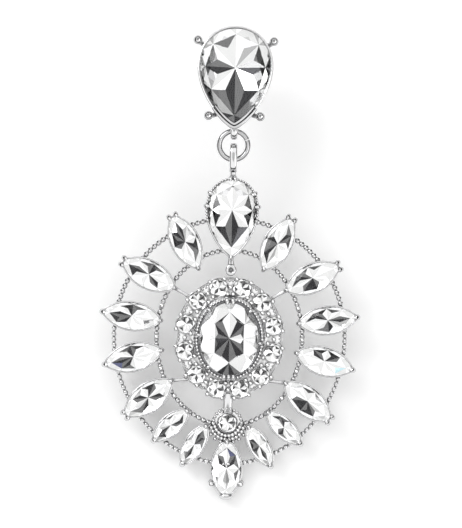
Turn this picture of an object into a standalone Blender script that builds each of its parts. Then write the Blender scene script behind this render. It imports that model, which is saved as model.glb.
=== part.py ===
"""Stud earring with a medallion drop, lying on its back as it rests on a table.

A pear stone on an ear post carries a jump ring, and the ring carries a cast medallion: an oval
stone in a halo of round stones, two beaded wires, fourteen marquise stones that point outwards,
a pear stone at the top and an upright marquise at the foot.

The post stands on the table and lifts the stud, so the medallion slopes down from the jump ring
until the two lower claws of its bottom marquise touch the table. +Z is up, +Y points from the
foot of the medallion to the stud, and the model is symmetric about the plane X = 0.
"""

import math

import bmesh
import bpy
import numpy as np
from mathutils import Matrix, Vector

MM = 0.001
TAU = 2.0 * math.pi
QUARTER = TAU / 4

# Fits and walls
GAP = 0.12 * MM  # room between a stone and its seat
GIRDLE = 0.10 * MM  # thickness of a stone's edge
PROUD = 0.6 * MM  # how far a cutter runs past the face that it opens

# Stones: length and width of the girdle, height of the crown, depth of the pavilion, and the
# thickness of the metal rim round it
STONES = {
    "stud_pear": {"length": 13.9, "width": 9.9, "crown": 1.5, "pavilion": 3.2, "rim": 0.50},
    "drop_pear": {"length": 10.9, "width": 7.0, "crown": 1.0, "pavilion": 2.1, "rim": 0.35},
    "centre_oval": {"length": 10.3, "width": 8.2, "crown": 1.3, "pavilion": 2.4, "rim": 0.50},
    "large_marquise": {"length": 7.8, "width": 3.8, "crown": 0.7, "pavilion": 1.6, "rim": 0.22},
    "small_marquise": {"length": 5.9, "width": 2.6, "crown": 0.5, "pavilion": 1.2, "rim": 0.22},
    "bottom_marquise": {"length": 7.4, "width": 3.6, "crown": 0.7, "pavilion": 1.6, "rim": 0.22},
    "round": {"length": 2.5, "width": 2.5, "crown": 0.5, "pavilion": 1.1, "rim": 0.22},
}
STONES = {name: {key: size * MM for key, size in row.items()} for name, row in STONES.items()}
TABLE = 0.58  # width of a stone's flat top, as a share of its girdle
CULET = 0.06  # width of its blunt bottom, as a share of its girdle
PEAR_POWER = 0.6
PEAR_WIDEST = 0.842  # greatest value of sin t times sin of half t to that power

# Heights in the medallion, measured from its back plane
MARQUISE_RIM = 2.3 * MM
PEAR_RIM = 2.8 * MM
OVAL_RIM = 3.1 * MM
HALO_RIM = 2.2 * MM
SEAT_DEPTH = 0.25 * MM  # girdle below the rim
MARQUISE_BACK, PEAR_BACK, OVAL_BACK, HALO_BACK = 0.0, 0.10 * MM, 0.05 * MM, 0.40 * MM
HALO_PLATE = (0.30 * MM, 0.72 * MM)  # back plate that joins the halo to the oval cup
HALO_FLOOR = 0.66 * MM  # bottom of a halo seat, just inside the plate
EYELET_LEVELS = (0.80 * MM, 2.00 * MM)
CLAW_LEVELS = (0.45 * MM, 2.50 * MM)
WIRE_HEIGHT = 1.2 * MM
WIRE_RADIUS = 0.32 * MM

# How far a setting narrows from its rim to its back, and a seat from the girdle to its bottom
BACK_SCALE = 0.80
OVAL_BACK_SCALE = 0.86
SEAT_SCALE = 0.75

# Marquises of the right side, each with a mirror twin on the left.
# across, along: centre from the medallion's own; heading: direction of the outer tip in degrees
MARQUISES = (
    {"across": 6.70 * MM, "along": 13.90 * MM, "heading": 62.5, "stone": "large_marquise"},
    {"across": 11.90 * MM, "along": 9.05 * MM, "heading": 26.0, "stone": "large_marquise"},
    {"across": 14.25 * MM, "along": 2.95 * MM, "heading": 7.3, "stone": "large_marquise"},
    {"across": 13.90 * MM, "along": -3.05 * MM, "heading": -15.5, "stone": "large_marquise"},
    {"across": 11.60 * MM, "along": -8.95 * MM, "heading": -38.3, "stone": "large_marquise"},
    {"across": 8.25 * MM, "along": -12.90 * MM, "heading": -43.0, "stone": "small_marquise"},
    {"across": 4.75 * MM, "along": -15.65 * MM, "heading": -59.5, "stone": "small_marquise"},
)

# Other places along the medallion's middle line
DROP_PEAR_AT = 17.55 * MM
SMALL_ROUND_AT = -12.35 * MM
BOTTOM_MARQUISE_AT = -19.05 * MM
HALO_COUNT = 12
HALO_ACROSS, HALO_ALONG = 6.6 * MM, 7.6 * MM  # half axes of the halo's centre line
HALO_PLATE_EDGE = 1.2 * MM  # beyond the halo's centre line
HALO_PLATE_HOLE = {"across": 3.7 * MM, "along": 4.5 * MM}  # half axes, inside the oval cup
OUTER_WIRE = {"across": 16.8 * MM, "along": 17.9 * MM, "shift": -0.5 * MM, "egg": 0.03, "count": 48}
INNER_WIRE = {"across": 10.6 * MM, "along": 12.8 * MM, "shift": 0.0, "egg": 0.0, "count": 40}
EYELET_AT, EYELET_RADIUS, EYELET_HOLE = 9.95 * MM, 0.85 * MM, 0.35 * MM
CLAW_RADIUS = 0.42 * MM
CLAW_REACH = 0.30 * MM  # middle of a tip claw past the stone's tip

# Feet: the bottom marquise's side claws end in balls behind it, which rest on the table
FOOT_ACROSS, FOOT_ALONG = 2.05 * MM, -21.30 * MM
FOOT_RADIUS = 0.45 * MM
FOOT_HEIGHT = 0.05 * MM
FOOT_CLAW_RADIUS = 0.40 * MM

# Cast bars on the medallion's middle line. half: half the width; start, end: along the line;
# low, high: levels above the back plane; all in millimetres
BARS = (
    {"name": "bail stem", "half": 0.50, "start": 22.60, "end": 24.90, "low": 0.90, "high": 2.30},
    {"name": "top link", "half": 0.55, "start": 8.60, "end": 12.20, "low": 0.90, "high": 1.72},
    {"name": "bottom link", "half": 0.75, "start": -11.40, "end": -8.00, "low": 0.85, "high": 1.63},
    {"name": "collar", "half": 1.30, "start": -15.60, "end": -13.30, "low": 0.77, "high": 1.81},
    {"name": "oval top claw", "half": 0.70, "start": 5.45, "end": 6.25, "low": 1.50, "high": 3.35},
    {"name": "oval foot claw", "half": 1.00, "start": -6.25, "end": -5.45, "low": 1.50, "high": 3.35},
    {"name": "foot bar", "half": 2.05, "start": -21.60, "end": -21.00, "low": 0.60, "high": 1.40},
)

# Struts from the halo to the inner tips of the second and fifth marquises, in millimetres
STRUTS = (
    {"across": 5.6, "along": 5.7, "to_across": 8.0, "to_along": 7.1},
    {"across": 5.7, "along": -6.1, "to_across": 8.2, "to_along": -6.3},
)
STRUT_RADIUS = 0.38 * MM

# Jump ring, the drop's bail and the stud's loop
RING_RADIUS, RING_WIRE = 2.07 * MM, 0.37 * MM
RING_AT = 28.05 * MM
RING_HEIGHT = 1.60 * MM
BAIL_RADIUS, BAIL_LENGTH = 1.05 * MM, 1.50 * MM
BAIL_AT = 26.20 * MM
BAIL_BAR = {"across": 1.10 * MM, "thick": 0.76 * MM}
LOOP_RADIUS = 0.98 * MM
LOOP_BAR = {"across": 1.00 * MM, "thick": 0.60 * MM}

# Stud, in its own frame: middle of the pear's outline on the back plane of the cup
STUD_RIM = 4.2 * MM
STUD_FLOOR = 0.35 * MM
LOOP_HEIGHT = 1.65 * MM
LOOP_PAST_RIM = -0.10 * MM  # loop's middle beyond the cup's tip
LOOP_STEM = {"half": 0.45 * MM, "start": 1.0 * MM, "end": 2.2 * MM, "low": 0.9 * MM, "high": 2.4 * MM}
STUD_SEAT_SCALE = 0.70

# Wires with ball ends that hold the stud's pear, each with a mirror twin. across, along: centre of
# the ball; lean: heading from the cup to the ball in degrees; arm: how far the wire runs inwards
PRONGS = (
    {"across": 5.50 * MM, "along": 5.30 * MM, "lean": 20.0, "arm": 2.6 * MM},
    {"across": 3.75 * MM, "along": -5.75 * MM, "lean": -25.0, "arm": 3.6 * MM},
)
PRONG_STEPS = (
    {"inwards": 1.00, "down": 2.9 * MM},
    {"inwards": 0.50, "down": 2.3 * MM},
    {"inwards": 0.12, "down": 1.2 * MM},
    {"inwards": 0.00, "down": 0.0},
)
PRONG_BALL, PRONG_WIRE = 0.62 * MM, 0.36 * MM
PRONG_SINK = 0.25 * MM  # centre of the ball below the rim
POST_ALONG = 2.4 * MM
POST_LENGTH = 9.6 * MM
POST_RADIUS = 0.44 * MM
PAD_RADIUS, PAD_THICK = 1.9 * MM, 0.5 * MM
PAD_GAP = 0.15 * MM

SHARP_ANGLE = math.radians(35)
CORNER_CUT = 0.35  # share of a cast bar's half thickness


# ---------------------------------------------------------------- outlines


def ellipse(length, width, count):
    """Points of an ellipse with its long axis along X, counter-clockwise."""
    t = np.arange(count) * TAU / count
    return np.stack([length / 2 * np.cos(t), width / 2 * np.sin(t)], axis=1)


def marquise(length, width, count):
    """Two equal arcs that meet in points at both ends of the X axis, counter-clockwise."""
    radius = (length**2 + width**2) / (4 * width)
    reach = math.asin(length / 2 / radius)
    half = count // 2
    turn = np.linspace(-reach, reach, half + 1)[:-1]
    x = radius * np.sin(turn)
    y = radius * np.cos(turn) - (radius - width / 2)
    return np.concatenate([np.stack([x, -y], axis=1), np.stack([-x, y], axis=1)])


def pear(length, width, count):
    """A drop with its point at -X: x = -cos t, y = sin t times a power of sin of half t, scaled to
    the size. The higher the power, the slimmer the point."""
    t = np.arange(count) * TAU / count
    side = np.sin(t) * np.sin(t / 2) ** PEAR_POWER
    return np.stack([-length / 2 * np.cos(t), -width / 2 * side / PEAR_WIDEST], axis=1)


OUTLINES = {"pear": pear, "marquise": marquise, "oval": ellipse, "round": ellipse}
SIDES = {"pear": 20, "marquise": 12, "oval": 20, "round": 8}


def kind_of(stone):
    return stone.split("_")[-1]


def girdle(stone):
    size, kind = STONES[stone], kind_of(stone)
    return OUTLINES[kind](size["length"], size["width"], SIDES[kind])


def grown(outline, by):
    """The outline moved outwards by a distance, each corner along its mitre."""
    along = np.roll(outline, -1, axis=0) - outline
    along /= np.linalg.norm(along, axis=1)[:, None]
    out = np.stack([along[:, 1], -along[:, 0]], axis=1)
    mitre = out + np.roll(out, 1, axis=0)
    mitre /= (1 + (out * np.roll(out, 1, axis=0)).sum(axis=1))[:, None]
    return outline + by * mitre


def level(outline, height):
    return np.column_stack([outline, np.full(len(outline), height)])


# ---------------------------------------------------------------- meshes


def skin(rings, looped=False):
    """A closed mesh through equal rings of points: capped at both ends, or joined end to start."""
    rings = np.asarray(rings)
    stations, count, _ = rings.shape
    bm = bmesh.new()
    rows = [[bm.verts.new(point) for point in ring] for ring in rings]
    for i in range(stations if looped else stations - 1):
        low, high = rows[i], rows[(i + 1) % stations]
        for j in range(count):
            k = (j + 1) % count
            bm.faces.new((low[j], low[k], high[k], high[j]))
    if not looped:
        bm.faces.new(rows[0])
        bm.faces.new(rows[-1])
    bmesh.ops.recalc_face_normals(bm, faces=bm.faces)
    bmesh.ops.triangulate(bm, faces=[face for face in bm.faces if len(face.verts) == 4])
    return bm


def sweep(path, normal, section, looped=False):
    """A bar along a flat path. section holds (sideways, along the normal) pairs."""
    path, normal = np.asarray(path), np.asarray(normal, float)
    if looped:
        ahead = np.roll(path, -1, axis=0) - np.roll(path, 1, axis=0)
    else:
        ahead = np.gradient(path, axis=0)
    side = np.cross(ahead, normal)
    side /= np.linalg.norm(side, axis=1)[:, None]
    section = np.asarray(section)
    rings = path[:, None] + side[:, None] * section[None, :, :1] + normal * section[None, :, 1:]
    return skin(rings, looped)


def round_section(radius, sides):
    t = (np.arange(sides) + 0.5) * TAU / sides
    return np.stack([radius * np.cos(t), radius * np.sin(t)], axis=1)


def soft_bar_section(bar):
    """A rectangle with its corners cut, for cast bars."""
    a, b = bar["thick"] / 2, bar["across"] / 2
    cut = CORNER_CUT * min(a, b)
    return [
        (a, b - cut), (a - cut, b), (cut - a, b), (-a, b - cut),
        (-a, cut - b), (cut - a, -b), (a - cut, -b), (a, cut - b),
    ]  # fmt: skip


def circle_path(centre, first, second, radius, count):
    """Points round a centre, in the plane of two unit directions."""
    t = np.arange(count)[:, None] * TAU / count
    return np.asarray(centre) + radius * (np.cos(t) * np.asarray(first) + np.sin(t) * np.asarray(second))


def ball(centre, radius, tilt=0.0, sides=10, rows=6):
    """A sphere with its poles tilted about X, so that one of them can point straight down."""
    bm = bmesh.new()
    poles = Matrix.Rotation(tilt, 4, "X")
    bmesh.ops.create_uvsphere(bm, u_segments=sides, v_segments=rows, radius=radius, matrix=poles)
    bmesh.ops.translate(bm, verts=bm.verts, vec=Vector(centre))
    return bm


def drum(centre, radius, low, high, sides):
    """An upright round bar between two heights."""
    ring = round_section(radius, sides) + np.asarray(centre)
    return skin([level(ring, low), level(ring, high)])


def block(low, high):
    (x0, y0, z0), (x1, y1, z1) = low, high
    outline = np.array([(x0, y0), (x1, y0), (x1, y1), (x0, y1)])
    return skin([level(outline, z0), level(outline, z1)])


def gem(stone):
    """Table, crown, girdle and pavilion of a cut stone, with the middle of its girdle at height 0."""
    size, edge = STONES[stone], girdle(stone)
    return skin(
        [
            level(edge * CULET, -size["pavilion"]),
            level(edge, -GIRDLE / 2),
            level(edge, GIRDLE / 2),
            level(edge * TABLE, size["crown"]),
        ]
    )


def cup(stone, rim, back, back_scale=BACK_SCALE):
    """The solid outside of a setting, tapering from its rim to the back."""
    outside = grown(girdle(stone), GAP + STONES[stone]["rim"])
    return skin([level(outside * back_scale, back), level(outside, rim)])


def hollow(stone, rim, bottom, bottom_scale=SEAT_SCALE):
    """The space inside a setting, tapering down from above its rim; it clears the girdle by GAP."""
    inside = grown(girdle(stone), GAP)
    top = rim + PROUD
    seat = rim - SEAT_DEPTH
    top_scale = 1 + (1 - bottom_scale) * (top - seat) / (seat - bottom)
    return skin([level(inside * bottom_scale, bottom), level(inside * top_scale, top)])


# ---------------------------------------------------------------- objects


def material(name, colour, roughness, metallic=0.0, transmission=0.0):
    mat = bpy.data.materials.new(name)
    mat.use_nodes = True
    shader = mat.node_tree.nodes["Principled BSDF"]
    shader.inputs["Base Color"].default_value = (*colour, 1.0)
    shader.inputs["Roughness"].default_value = roughness
    shader.inputs["Metallic"].default_value = metallic
    shader.inputs["Transmission Weight"].default_value = transmission
    mat.diffuse_color = (*colour, 1.0)
    return mat


def place(bm, name, parent, at=(0.0, 0.0, 0.0), turn=0.0, finish=None, smooth=False):
    """An object of this mesh under a parent, turned about its own Z axis."""
    mesh = bpy.data.meshes.new(name)
    bm.to_mesh(mesh)
    bm.free()
    if smooth:
        mesh.shade_smooth()
        mesh.set_sharp_from_angle(angle=SHARP_ANGLE)
    if finish:
        mesh.materials.append(finish)
    return place_mesh(mesh, name, parent, at, turn)


def place_mesh(mesh, name, parent, at, turn):
    obj = bpy.data.objects.new(name, mesh)
    bpy.context.scene.collection.objects.link(obj)
    obj.parent = parent
    obj.location = at
    obj.rotation_euler = (0.0, 0.0, turn)
    return obj


def helpers(name, parent, shapes):
    """A collection of hidden shapes for a Boolean. shapes holds (mesh, place, turn) rows."""
    group = bpy.data.collections.new(name)
    bpy.context.scene.collection.children.link(group)
    for index, (bm, at, turn) in enumerate(shapes):
        obj = place(bm, f"{name}_{index:02d}", parent, at, turn)
        bpy.context.scene.collection.objects.unlink(obj)
        group.objects.link(obj)
        obj.hide_render = True
        obj.display_type = "WIRE"
    return group


def boolean(obj, group, operation, solver="EXACT"):
    modifier = obj.modifiers.new(operation.lower(), "BOOLEAN")
    modifier.operation = operation
    modifier.operand_type = "COLLECTION"
    modifier.collection = group
    modifier.solver = solver


def empty(name, at, tilt=0.0):
    obj = bpy.data.objects.new(name, None)
    bpy.context.scene.collection.objects.link(obj)
    obj.location = at
    obj.rotation_euler = (tilt, 0.0, 0.0)
    return obj


# ---------------------------------------------------------------- the pose at rest


def lean_of_drop():
    """The slope at which the ring's top wire lies in the stud's loop and the feet touch the table.

    Height of the loop = (ring's top - feet) sin(lean) + (ring's height - foot's height) cos(lean)
    + foot radius, solved for the lean."""
    run = RING_AT + RING_RADIUS - FOOT_ALONG
    rise = RING_HEIGHT - FOOT_HEIGHT
    loop = POST_LENGTH + PAD_THICK + PAD_GAP + LOOP_HEIGHT - FOOT_RADIUS
    return math.asin(loop / math.hypot(run, rise)) - math.atan2(rise, run)


def drop_point(lean, lift, along, height):
    """Y and Z in the world of a place on the medallion's middle plane."""
    y = along * math.cos(lean) - height * math.sin(lean)
    z = along * math.sin(lean) + height * math.cos(lean)
    return y, lift + z


# ---------------------------------------------------------------- the medallion


def mirrored(row, sign):
    """Place and turn of a marquise on the right (sign 1) or the left (sign -1)."""
    turn = math.radians(row["heading"])
    return (sign * row["across"], row["along"]), turn if sign > 0 else math.pi - turn


def halo_places():
    t = (np.arange(HALO_COUNT) + 0.5) * TAU / HALO_COUNT
    return np.stack([HALO_ACROSS * np.sin(t), HALO_ALONG * np.cos(t)], axis=1)


def wire(shape):
    """A closed wire round the medallion: an ellipse, a little wider above its middle if egg is set."""
    t = np.arange(shape["count"]) * TAU / shape["count"]
    across = shape["across"] * np.cos(t) * (1 + shape["egg"] * np.sin(t))
    along = shape["shift"] + shape["along"] * np.sin(t)
    path = np.column_stack([across, along, np.full(len(t), WIRE_HEIGHT)])
    return sweep(path, (0, 0, 1), round_section(WIRE_RADIUS, 6), looped=True)


def bail():
    """The drop's loop, edge on to the face: two half rounds joined by straight sides."""
    turn = np.linspace(0, math.pi, 9)
    up = np.column_stack([np.zeros(9), BAIL_RADIUS * np.sin(turn), BAIL_RADIUS * np.cos(turn)])
    top = up + (0, BAIL_AT + BAIL_LENGTH / 2, RING_HEIGHT)
    bottom = up * (1, -1, -1) + (0, BAIL_AT - BAIL_LENGTH / 2, RING_HEIGHT)
    return sweep(np.concatenate([top, bottom]), (1, 0, 0), soft_bar_section(BAIL_BAR), looped=True)


def bar(row):
    """One row of BARS as a solid."""
    low = (-row["half"] * MM, row["start"] * MM, row["low"] * MM)
    high = (row["half"] * MM, row["end"] * MM, row["high"] * MM)
    return block(low, high)


def tip_claw(stone, at, turn):
    """The claw at the outer tip of a marquise, from near the back to just over the girdle."""
    reach = STONES[stone]["length"] / 2 + CLAW_REACH
    spot = np.array(at) + reach * np.array([math.cos(turn), math.sin(turn)])
    return drum(spot, CLAW_RADIUS, *CLAW_LEVELS, 6)


def strut(row, sign):
    ends = ((row["across"], row["along"]), (row["to_across"], row["to_along"]))
    path = [(sign * across * MM, along * MM, WIRE_HEIGHT) for across, along in ends]
    return sweep(path, (0, 0, 1), round_section(STRUT_RADIUS, 6))


def foot(sign, lean):
    """A side claw of the bottom marquise, and the ball behind it that touches the table."""
    spot = (sign * FOOT_ACROSS, FOOT_ALONG)
    yield ball((*spot, FOOT_HEIGHT), FOOT_RADIUS, -lean)
    yield drum(spot, FOOT_CLAW_RADIUS, FOOT_HEIGHT, CLAW_LEVELS[1], 8)


def marquises():
    """(name, stone, place, turn) of every marquise, the bottom one last."""
    for side, sign in (("right", 1), ("left", -1)):
        for number, row in enumerate(MARQUISES, 1):
            yield f"marquise_{side}_{number}", row["stone"], *mirrored(row, sign)
    yield "bottom_marquise", "bottom_marquise", (0.0, BOTTOM_MARQUISE_AT), -QUARTER


def rounds():
    """(name, place) of every round stone in the medallion."""
    for number, at in enumerate(halo_places(), 1):
        yield f"halo_stone_{number:02d}", tuple(at)
    yield "small_round", (0.0, SMALL_ROUND_AT)


def frame_parts(lean):
    """Everything that is cast or soldered into the medallion, as overlapping solids."""
    rows = [
        (cup("drop_pear", PEAR_RIM, PEAR_BACK), (0, DROP_PEAR_AT, 0), QUARTER),
        (cup("centre_oval", OVAL_RIM, OVAL_BACK, OVAL_BACK_SCALE), (0, 0, 0), QUARTER),
    ]
    rows += [(cup("round", HALO_RIM, HALO_BACK), (*at, 0), 0.0) for _, at in rounds()]
    whole = [wire(OUTER_WIRE), wire(INNER_WIRE), bail()]
    whole.append(drum((0, EYELET_AT), EYELET_RADIUS, *EYELET_LEVELS, 12))
    whole += [bar(row) for row in BARS]
    for _, stone, at, turn in marquises():
        rows.append((cup(stone, MARQUISE_RIM, MARQUISE_BACK), (*at, 0), turn))
        whole.append(tip_claw(stone, at, turn))
    for sign in (1, -1):
        whole += [strut(row, sign) for row in STRUTS]
        whole += foot(sign, lean)
    return rows + [(shape, (0, 0, 0), 0.0) for shape in whole]


def frame_hollows():
    """The seats of all stones, and the eyelet's hole."""
    eyelet = drum((0, EYELET_AT), EYELET_HOLE, -PROUD, EYELET_LEVELS[1] + PROUD, 8)
    rows = [
        (hollow("drop_pear", PEAR_RIM, -PROUD), (0, DROP_PEAR_AT, 0), QUARTER),
        (hollow("centre_oval", OVAL_RIM, -PROUD), (0, 0, 0), QUARTER),
        (eyelet, (0, 0, 0), 0.0),
    ]
    for _, stone, at, turn in marquises():
        rows.append((hollow(stone, MARQUISE_RIM, -PROUD), (*at, 0), turn))
    rows += [(hollow("round", HALO_RIM, HALO_FLOOR), (*at, 0), 0.0) for _, at in rounds()]
    return rows


def halo_plate():
    """The oval ring behind the halo, which the centre cup passes through."""
    low, high = HALO_PLATE
    edge = HALO_PLATE_EDGE
    outer = ellipse(2 * (HALO_ACROSS + edge), 2 * (HALO_ALONG + edge), 32)
    inner = ellipse(2 * HALO_PLATE_HOLE["across"], 2 * HALO_PLATE_HOLE["along"], 32)
    rings = [level(outer, low), level(outer, high), level(inner, high), level(inner, low)]
    return skin(rings, looped=True)


def make_drop(drop, lean, metal, crystal):
    frame = place(halo_plate(), "drop_frame", drop, finish=metal, smooth=True)
    # The exact solver leaves open edges where so many thin walls meet; all these shapes are closed.
    boolean(frame, helpers("frame_parts", drop, frame_parts(lean)), "UNION", "MANIFOLD")
    boolean(frame, helpers("frame_hollows", drop, frame_hollows()), "DIFFERENCE", "MANIFOLD")
    pear_at = (0, DROP_PEAR_AT, PEAR_RIM - SEAT_DEPTH)
    place(gem("drop_pear"), "drop_pear", drop, pear_at, QUARTER, crystal)
    oval_at = (0, 0, OVAL_RIM - SEAT_DEPTH)
    place(gem("centre_oval"), "centre_oval", drop, oval_at, QUARTER, crystal)
    spots = [(*row, MARQUISE_RIM - SEAT_DEPTH) for row in marquises()]
    spots += [(name, "round", at, 0.0, HALO_RIM - SEAT_DEPTH) for name, at in rounds()]
    shared = {}
    for name, stone, at, turn, height in spots:
        if stone in shared:
            place_mesh(shared[stone], name, drop, (*at, height), turn)
        else:
            shared[stone] = place(gem(stone), name, drop, (*at, height), turn, crystal).data
    path = circle_path((0, RING_AT, RING_HEIGHT), (1, 0, 0), (0, 1, 0), RING_RADIUS, 36)
    ring = sweep(path, (0, 0, 1), round_section(RING_WIRE, 10), looped=True)
    place(ring, "jump_ring", drop, finish=metal, smooth=True)


# ---------------------------------------------------------------- the stud


def stud_ends():
    """Distances from the middle of the stud's pear to the tip and to the round end of its cup."""
    outside = grown(girdle("stud_pear"), GAP + STONES["stud_pear"]["rim"])[:, 0]
    return -outside.min(), outside.max()


def prong(row, sign):
    """A wire that leans out of the cup's side and rises to its ball."""
    heading = math.radians(row["lean"])
    out = np.array([sign * math.cos(heading), math.sin(heading), 0.0])
    top = np.array([sign * row["across"], row["along"], STUD_RIM - PRONG_SINK])
    inwards = row["arm"] * out
    path = [top - step["inwards"] * inwards - (0, 0, step["down"]) for step in PRONG_STEPS]
    side = np.cross(out, (0, 0, 1))
    yield sweep(path, side, round_section(PRONG_WIRE, 8))
    yield ball(top, PRONG_BALL)


def stud_loop():
    """The loop at the stud's tip, edge on to the face, and the stem that joins it to the cup."""
    middle = -stud_ends()[0] - LOOP_PAST_RIM
    path = circle_path((0, middle, LOOP_HEIGHT), (0, 1, 0), (0, 0, 1), LOOP_RADIUS, 16)
    yield sweep(path, (1, 0, 0), soft_bar_section(LOOP_BAR), looped=True)
    low = (-LOOP_STEM["half"], middle + LOOP_STEM["start"], LOOP_STEM["low"])
    high = (LOOP_STEM["half"], middle + LOOP_STEM["end"], LOOP_STEM["high"])
    yield block(low, high)


def ear_post():
    """The round pad behind the cup and the pin that goes through the ear, in one piece."""
    spot = np.array([0.0, POST_ALONG])
    pad_top = -PAD_GAP
    pad_back = pad_top - PAD_THICK
    stack = (
        (POST_RADIUS, pad_back - POST_LENGTH),
        (POST_RADIUS, pad_back),
        (PAD_RADIUS, pad_back),
        (PAD_RADIUS, pad_top),
    )
    return skin([level(round_section(radius, 20) + spot, height) for radius, height in stack])


def make_stud(stud, metal, steel, crystal):
    shell = cup("stud_pear", STUD_RIM, 0.0)
    setting = place(shell, "stud_setting", stud, turn=QUARTER, finish=metal, smooth=True)
    parts = [*stud_loop()]
    for row in PRONGS:
        for sign in (1, -1):
            parts += prong(row, sign)
    rows = [(shape, (0, 0, 0), 0.0) for shape in parts]
    boolean(setting, helpers("stud_parts", stud, rows), "UNION")
    seat = hollow("stud_pear", STUD_RIM, STUD_FLOOR, STUD_SEAT_SCALE)
    boolean(setting, helpers("stud_hollows", stud, [(seat, (0, 0, 0), QUARTER)]), "DIFFERENCE")
    place(gem("stud_pear"), "stud_pear", stud, (0, 0, STUD_RIM - SEAT_DEPTH), QUARTER, crystal)
    place(ear_post(), "ear_post", stud, finish=steel, smooth=True)


def main():
    for obj in list(bpy.data.objects):
        bpy.data.objects.remove(obj, do_unlink=True)
    metal = material("bright_silver", (0.90, 0.90, 0.91), 0.12, metallic=1.0)
    steel = material("post_steel", (0.78, 0.79, 0.80), 0.22, metallic=1.0)
    crystal = material("clear_crystal", (0.95, 0.96, 0.98), 0.02, transmission=0.6)
    lean = lean_of_drop()
    lift = FOOT_RADIUS - FOOT_ALONG * math.sin(lean) - FOOT_HEIGHT * math.cos(lean)
    loop_y, loop_z = drop_point(lean, lift, RING_AT + RING_RADIUS, RING_HEIGHT)
    tip, end = stud_ends()
    stud_y = loop_y + tip + LOOP_PAST_RIM
    lowest = BOTTOM_MARQUISE_AT - STONES["bottom_marquise"]["length"] / 2 - CLAW_REACH - CLAW_RADIUS
    foot_y = drop_point(lean, lift, lowest, CLAW_LEVELS[1])[0]
    middle = (stud_y + end + foot_y) / 2
    drop = empty("drop", (0, -middle, lift), lean)
    stud = empty("stud", (0, stud_y - middle, loop_z - LOOP_HEIGHT))
    make_drop(drop, lean, metal, crystal)
    make_stud(stud, metal, steel, crystal)


main()
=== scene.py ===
# %% [markdown]
# # A stud earring with a medallion drop
#
# This lesson dresses a solid model of a costume earring: clear foiled stones in a bright
# silver-tone casting. Each step measures the solid model first, and then builds a finer surface
# in the same place.

# %% Load the solid model
import math
from types import SimpleNamespace as Seat

import bpy
import numpy as np
from mathutils import Matrix, Vector


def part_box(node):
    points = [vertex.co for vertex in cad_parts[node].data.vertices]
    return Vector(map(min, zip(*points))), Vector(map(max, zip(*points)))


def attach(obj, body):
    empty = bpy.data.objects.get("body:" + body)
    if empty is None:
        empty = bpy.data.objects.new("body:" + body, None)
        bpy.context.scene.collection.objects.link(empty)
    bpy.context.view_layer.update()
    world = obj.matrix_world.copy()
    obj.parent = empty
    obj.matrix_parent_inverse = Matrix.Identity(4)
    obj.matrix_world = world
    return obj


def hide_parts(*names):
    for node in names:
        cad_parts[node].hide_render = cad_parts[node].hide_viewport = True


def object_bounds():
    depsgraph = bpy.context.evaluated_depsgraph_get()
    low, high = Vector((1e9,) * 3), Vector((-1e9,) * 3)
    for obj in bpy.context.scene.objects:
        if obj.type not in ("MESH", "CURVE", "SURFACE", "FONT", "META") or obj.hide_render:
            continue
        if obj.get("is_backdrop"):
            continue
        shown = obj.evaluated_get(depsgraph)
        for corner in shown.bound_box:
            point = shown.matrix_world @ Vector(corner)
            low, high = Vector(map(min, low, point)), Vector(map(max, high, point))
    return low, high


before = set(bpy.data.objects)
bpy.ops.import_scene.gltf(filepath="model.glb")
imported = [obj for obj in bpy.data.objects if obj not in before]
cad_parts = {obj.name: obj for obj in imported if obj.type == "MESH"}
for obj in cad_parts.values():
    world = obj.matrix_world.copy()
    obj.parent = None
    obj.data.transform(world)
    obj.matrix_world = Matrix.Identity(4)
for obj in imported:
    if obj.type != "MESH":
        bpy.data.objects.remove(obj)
cad_low, cad_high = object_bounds()
MM = 0.001
TURN = 2 * math.pi
print(len(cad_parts), "solids,", [round(side / MM, 1) for side in cad_high - cad_low], "mm")

# %% [markdown]
# ## Measuring the model
#
# The medallion leans: its foot lies on the table and its top hangs from the stud. Two marquise
# stones of one size on the same side, high and low, differ only by a step along the medallion, so
# that step gives the slope. After that every place is written as across, along and up on the
# medallion itself, in millimetres, as a jeweller would draw it.


# %% Corners of a solid, and the two sets of axes
def corners(node):
    """The different corner points of a solid, in millimetres to three places, once each."""
    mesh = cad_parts[node].data
    points = np.empty(len(mesh.vertices) * 3, np.float32)
    mesh.vertices.foreach_get("co", points)
    return np.unique(np.round(points.reshape(-1, 3).astype(float) / MM, 3), axis=0)


class Bench:
    """A place to work on, in millimetres: an origin and three unit axes, across, along and up."""

    def __init__(self, origin, along):
        across = np.array([1.0, 0.0, 0.0])
        self.origin = np.asarray(origin, float)
        self.axes = np.array([across, along, np.cross(across, along)])

    def world(self, points):
        """Origin plus each coordinate times its axis, in metres for the scene."""
        return (self.origin + np.asarray(points) @ self.axes) * MM

    def local(self, points):
        """The share of each axis in the way from the origin to a point, both in millimetres."""
        return (np.asarray(points) - self.origin) @ self.axes.T


OVAL_GIRDLE = 2.85  # the centre stone's edge above the medallion's back
STUD_GIRDLE = 3.95  # the stud stone's edge above the back of its cup

climb = corners("marquise_right_1").mean(axis=0) - corners("marquise_right_5").mean(axis=0)
climb[0] = 0.0
medallion = Bench((0, 0, 0), climb / np.linalg.norm(climb))
world = Bench((0, 0, 0), (0.0, 1.0, 0.0))
print("the medallion leans", round(math.degrees(math.asin(medallion.axes[1, 2])), 1), "degrees")


# %% The seat of a stone
def levels(points):
    """The heights of corners, lowest first: bottom point, two edges of the girdle, table.

    Sorted heights are cut wherever the next is over 0.03 mm higher, and each group is averaged."""
    heights = np.sort(points[:, 2])
    cuts = np.flatnonzero(np.diff(heights) > 0.03) + 1
    return [group.mean() for group in np.split(heights, cuts)]


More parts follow.
